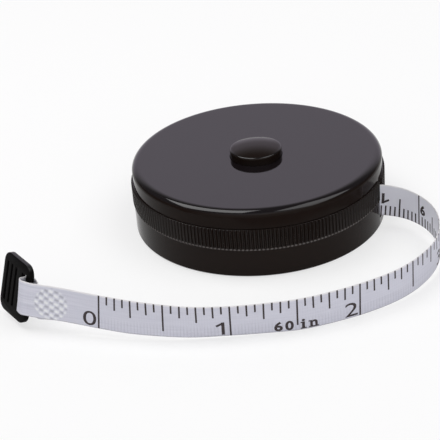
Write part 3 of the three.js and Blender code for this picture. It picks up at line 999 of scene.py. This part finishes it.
def coatedCloth():
    settings = {"IOR": 1.45, "Specular IOR Level": 0.35, "Roughness": 0.5}
    material, tree, shader = newMaterial("coatedGlassCloth", settings)
    spot = addNode(tree, "ShaderNodeAttribute", {"attribute_name": "tapeSpot"})
    press = addNode(tree, "ShaderNodeAttribute", {"attribute_name": "weldPress"})
    axes = addNode(tree, "ShaderNodeSeparateXYZ", links={"Vector": spot.outputs["Vector"]})
    stretched = addNode(
        tree,
        "ShaderNodeMapping",
        {"Scale": (1 / cloth["streakLength"], 1 / cloth["streakWidth"], 1)},
        {"Vector": spot.outputs["Vector"]},
    )
    streak = addNode(
        tree, "ShaderNodeTexNoise", {"Scale": 1.0, "Detail": 2.0}, {"Vector": stretched.outputs["Vector"]}
    )
    gain = addNode(
        tree,
        "ShaderNodeMapRange",
        {
            "From Min": cloth["bareTo"],
            "From Max": cloth["bareFrom"],
            "To Min": cloth["streakGain"][1],
            "To Max": cloth["streakGain"][0],
        },
        {"Value": axes.outputs["X"]},
    )
    centred = addNode(tree, "ShaderNodeMath", {"operation": "SUBTRACT", 1: 0.5}, {0: streak.outputs["Fac"]})
    yarn = addNode(
        tree,
        "ShaderNodeMath",
        {"operation": "MULTIPLY_ADD", 2: 0.5},
        {0: centred.outputs["Value"], 1: gain.outputs["Result"]},
    )
    tone = addNode(
        tree,
        "ShaderNodeMix",
        {"data_type": "RGBA", 6: linear(cloth["dark"]), 7: linear(cloth["pale"])},
        {0: yarn.outputs["Value"]},
    )
    turns = addNode(
        tree,
        "ShaderNodeMath",
        {"operation": "MULTIPLY", 1: 2 * math.pi / cloth["barPitch"]},
        {0: axes.outputs["X"]},
    )
    bars = addNode(tree, "ShaderNodeMath", {"operation": "COSINE"}, {0: turns.outputs["Value"]})
    start, full = cloth["barSpan"]
    low = addNode(
        tree,
        "ShaderNodeMapRange",
        {"From Min": start, "From Max": full, "To Max": cloth["barShare"]},
        {"Value": axes.outputs["Y"]},
    )
    printed = addNode(tree, "ShaderNodeMath", {"operation": "GREATER_THAN", 1: 0.0}, {0: axes.outputs["X"]})
    for mask in (low.outputs["Result"], printed.outputs["Value"]):
        bars = addNode(
            tree, "ShaderNodeMath", {"operation": "MULTIPLY"}, {0: bars.outputs["Value"], 1: mask}
        )
    half = tape["width"] / 2
    upper = [half - inward for inward in cloth["paintedLightUpperEdgeSpan"]]
    lower = [inward - half for inward in cloth["paintedShadeLowerEdgeSpan"]]
    for source, start, full, colour in (
        (bars.outputs["Value"], 0, 1, cloth["bar"]),
        # weld pits painted greyer as painted shade, ridges paler as painted light
        (press.outputs["Fac"], 0, cloth["pressFull"], cloth["pit"]),
        (press.outputs["Fac"], 0, -cloth["pressFull"], cloth["paintedLightRidge"]),
        # the centimetre side painted whiter as painted light
        (axes.outputs["Z"], 0, -1, cloth["reverse"]),
        # the upper edge painted paler as painted light, the lower edge darker as painted shade
        (axes.outputs["Y"], *upper, cloth["paintedLightUpperEdge"]),
        (axes.outputs["Y"], *lower, cloth["paintedShadeLowerEdge"]),
    ):
        share = addNode(tree, "ShaderNodeMapRange", {"From Min": start, "From Max": full}, {"Value": source})
        tone = addNode(
            tree,
            "ShaderNodeMix",
            {"data_type": "RGBA", 7: linear(colour)},
            {0: share.outputs["Result"], 6: tone.outputs[2]},
        )
    tree.links.new(tone.outputs[2], shader.inputs["Base Color"])
    thread = addNode(
        tree,
        "ShaderNodeMapping",
        {"Scale": (1 / cloth["threadSpacing"], 1 / cloth["threadSpacing"], 1)},
        {"Vector": spot.outputs["Vector"]},
    )
    warp, weft = (
        addNode(
            tree,
            "ShaderNodeTexWave",
            {
                "bands_direction": direction,
                "Scale": waveRepeat,
                "Distortion": cloth["threadWander"],
                "Detail": 1.0,
            },
            {"Vector": thread.outputs["Vector"]},
        ).outputs["Fac"]
        for direction in ("X", "Y")
    )
    weave = addNode(tree, "ShaderNodeMath", {"operation": "MULTIPLY"}, {0: warp, 1: weft})
    relief = addNode(
        tree,
        "ShaderNodeMath",
        {"operation": "MULTIPLY_ADD", 1: cloth["streakRelief"]},
        {0: streak.outputs["Fac"], 2: weave.outputs["Value"]},
    )
    bump = addNode(
        tree,
        "ShaderNodeBump",
        {"Strength": 0.6, "Distance": cloth["reliefDepth"] * mm},
        {"Height": relief.outputs["Value"]},
    )
    tree.links.new(bump.outputs["Normal"], shader.inputs["Normal"])
    return material


# Screen ink: a thin brown-black film, laid a little unevenly over about 0.8 mm
def screenInk():
    settings = {"IOR": 1.45, "Specular IOR Level": 0.3, "Roughness": 0.55}
    return twoTone("screenInk", ("#2b2426", "#453c3e"), 0.8, 3.0, settings)[0]


# Natural acetal: milky off-white, waxy, with faint flow clouds of about 6 mm from the mould
def naturalAcetal():
    settings = {"IOR": 1.48, "Roughness": 0.42, "Subsurface Weight": 0.05}
    return twoTone("naturalAcetal", ("#dedacf", "#ebe8df"), 6, 2.0, settings)[0]


# Spring steel, rolled and tempered: grey metal with draw marks of about 0.3 mm and a trace of blue
def springSteel():
    hexes = ("#8b919b", "#b3b6ba")
    material, tree, shader, marks = twoTone("springSteel", hexes, 0.3, 3.0, {"Metallic": 1.0})
    rough = addNode(tree, "ShaderNodeMapRange", {"To Min": 0.24, "To Max": 0.4}, {"Value": marks})
    tree.links.new(rough.outputs["Result"], shader.inputs["Roughness"])
    return material


# Friction rubber, ground flat: dead matt dark grey, with filler specks of about 0.2 mm
def brakeRubber():
    settings = {"IOR": 1.52, "Roughness": 0.9}
    return twoTone("brakeRubber", ("#242424", "#353434"), 0.2, 2.0, settings)[0]


# The wound tape seen edge on: white turns with dark lines between them
coil = {"turnPitch": 0.27, "wander": 0.3, "gap": "#8d8e98", "turn": "#c6c7d2"}


def woundCloth():
    material, tree, shader = newMaterial("woundGlassCloth", {"IOR": 1.45, "Roughness": 0.65})
    coords = addNode(tree, "ShaderNodeTexCoord")
    turns = addNode(
        tree,
        "ShaderNodeTexWave",
        {
            "wave_type": "RINGS",
            "rings_direction": "Z",
            "Scale": waveRepeat / (coil["turnPitch"] * mm),
            "Distortion": coil["wander"],
        },
        {"Vector": coords.outputs["Object"]},
    )
    tone = addNode(
        tree,
        "ShaderNodeMix",
        {"data_type": "RGBA", 6: linear(coil["gap"]), 7: linear(coil["turn"])},
        {0: turns.outputs["Fac"]},
    )
    tree.links.new(tone.outputs[2], shader.inputs["Base Color"])
    return material


def paint(piece, material):
    piece.data.materials.clear()
    piece.data.materials.append(material)


bandAbs, coverAbs, buttonAbs = (mouldedAbs(name) for name in moulding["finishes"])
tabAbs = satinAbs()
tapeCloth = coatedCloth()
tapeInk = screenInk()
acetal = naturalAcetal()
steel = springSteel()
rubber = brakeRubber()
coilCloth = woundCloth()
for piece, material in (
    (caseBase, bandAbs),
    (caseCover, coverAbs),
    (releaseButton, buttonAbs),
    (endTab, tabAbs),
    (clothTape, tapeCloth),
    (inchPrint, tapeInk),
    (centimetrePrint, tapeInk),
):
    paint(piece, material)
for material, nodes in (
    (acetal, ("reel", "reel_cover", "thrust_washer", "tape_anchor_pin")),
    (steel, ("arbor", "lift_spring", "mainspring")),
    (rubber, ("brake_ring",)),
    (coilCloth, ("tape_coil",)),
):
    for node in nodes:
        paint(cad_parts[node], material)
print("materials:", len(bpy.data.materials))

# What each piece rides on and stands for
for piece, body, node, slot in (
    (caseBase, "case", "lower_case", "case_plastic"),
    (caseCover, "case", "top_cover", "case_plastic"),
    (clothTape, "case", "tape_run", "tape_cloth"),
    (inchPrint, "case", None, None),
    (centimetrePrint, "case", None, None),
    (releaseButton, "button", "release_button", "button_plastic"),
    (endTab, "tab", "end_tab", "tab_plastic"),
):
    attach(piece, body)
    if node:
        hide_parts(node)

# Studio: white floor, a white backdrop behind, a fill card in front, a softbox overhead on each side
studio = {
    "floorSize": 6000,
    "floorDrop": 0.05,
    "floorHex": "#fcfcfc",
    "floorGlow": 0.6,  # share of the floor that shows as plain white, the rest carries the shadow
    "backdrop": 0.88,
    "backdropHex": "#f7edff",
    "backdropTurn": 5,  # degrees to the right of straight back
    "backdropReach": (58, 30),  # degrees from its middle, where it starts and where it is full
    "backdropFade": (20, 30, 0.75),  # degrees above the horizon, and how bright it is below them
    "fill": 0.9,
    "fillReach": (75, 37),  # degrees from straight in front
    "room": 0.12,
    "softboxes": (
        {"name": "leftSoftbox", "place": (-238, 85, 600), "size": (365, 430), "radiance": 4.0},
        {"name": "rightSoftbox", "place": (340, -90, 600), "size": (480, 450), "radiance": 2.2},
    ),
}


def makeFloor():
    shape = bmesh.new()
    bmesh.ops.create_grid(shape, x_segments=1, y_segments=1, size=studio["floorSize"] / 2 * mm)
    bmesh.ops.translate(shape, verts=shape.verts, vec=(0, 0, -studio["floorDrop"] * mm))
    floor = finishMesh("floor", shape)
    colour = linear(studio["floorHex"])
    settings = {"Base Color": colour, "Roughness": 0.9, "Specular IOR Level": 0.0}
    material, tree, shader = newMaterial("paperFloor", settings)
    rays = addNode(tree, "ShaderNodeLightPath").outputs
    seen = rays["Is Camera Ray"]
    for ray in (rays["Is Glossy Ray"], rays["Is Transmission Ray"]):
        either = addNode(tree, "ShaderNodeMath", {"operation": "MAXIMUM"}, {0: seen, 1: ray})
        seen = either.outputs["Value"]
    share = addNode(tree, "ShaderNodeMath", {"operation": "MULTIPLY", 1: studio["floorGlow"]}, {0: seen})
    white = addNode(tree, "ShaderNodeEmission", {"Strength": 1.0})
    mix = addNode(
        tree,
        "ShaderNodeMixShader",
        links={0: share.outputs["Value"], 1: shader.outputs["BSDF"], 2: white.outputs["Emission"]},
    )
    tree.links.new(mix.outputs["Shader"], tree.nodes["Material Output"].inputs["Surface"])
    paint(floor, material)


def makeWorld():
    world = bpy.data.worlds.new("studio")
    world.use_nodes = True
    scene.world = world
    tree = world.node_tree
    coords = addNode(tree, "ShaderNodeTexCoord")
    axes = addNode(tree, "ShaderNodeSeparateXYZ", links={"Vector": coords.outputs["Generated"]})
    smooth = {"interpolation_type": "SMOOTHSTEP"}
    turn = math.radians(studio["backdropTurn"])
    ahead = addNode(
        tree,
        "ShaderNodeVectorMath",
        {"operation": "DOT_PRODUCT", 1: (math.sin(turn), math.cos(turn), 0)},
        {0: coords.outputs["Generated"]},
    )
    start, full = (math.cos(math.radians(angle)) for angle in studio["backdropReach"])
    back = addNode(
        tree,
        "ShaderNodeMapRange",
        {**smooth, "From Min": start, "From Max": full, "To Max": studio["backdrop"]},
        {"Value": ahead.outputs["Value"]},
    )
    lowAngle, highAngle, lowShare = studio["backdropFade"]
    fade = addNode(
        tree,
        "ShaderNodeMapRange",
        {
            "From Min": math.sin(math.radians(lowAngle)),
            "From Max": math.sin(math.radians(highAngle)),
            "To Min": lowShare,
        },
        {"Value": axes.outputs["Z"]},
    )
    start, full = (-math.cos(math.radians(angle)) for angle in studio["fillReach"])
    front = addNode(
        tree,
        "ShaderNodeMapRange",
        {**smooth, "From Min": start, "From Max": full, "To Max": studio["fill"]},
        {"Value": axes.outputs["Y"]},
    )
    rest = addNode(
        tree, "ShaderNodeMath", {"operation": "ADD", 1: studio["room"]}, {0: front.outputs["Result"]}
    )
    level = addNode(
        tree,
        "ShaderNodeMath",
        {"operation": "MULTIPLY_ADD"},
        {0: back.outputs["Result"], 1: fade.outputs["Result"], 2: rest.outputs["Value"]},
    )
    tree.links.new(level.outputs["Value"], tree.nodes["Background"].inputs["Strength"])
    colour = addNode(
        tree,
        "ShaderNodeMix",
        {"data_type": "RGBA", 6: linear("#ffffff"), 7: linear(studio["backdropHex"])},
        {0: back.outputs["Result"]},
    )
    tree.links.new(colour.outputs[2], tree.nodes["Background"].inputs["Color"])


def makeSoftboxes():
    for box in studio["softboxes"]:
        lamp = bpy.data.lights.new(box["name"], "AREA")
        lamp.shape = "RECTANGLE"
        lamp.size, lamp.size_y = (side * mm for side in box["size"])
        lamp.energy = box["radiance"] * math.pi * lamp.size * lamp.size_y
        holder = linkPiece(box["name"], lamp)
        holder.location = Vector(box["place"]) * mm
        holder.rotation_euler = holder.location.to_track_quat("Z", "Y").to_euler()
        holder.visible_camera = False


makeFloor()
makeWorld()
makeSoftboxes()
scene.view_settings.view_transform = "Standard"
print("studio set")
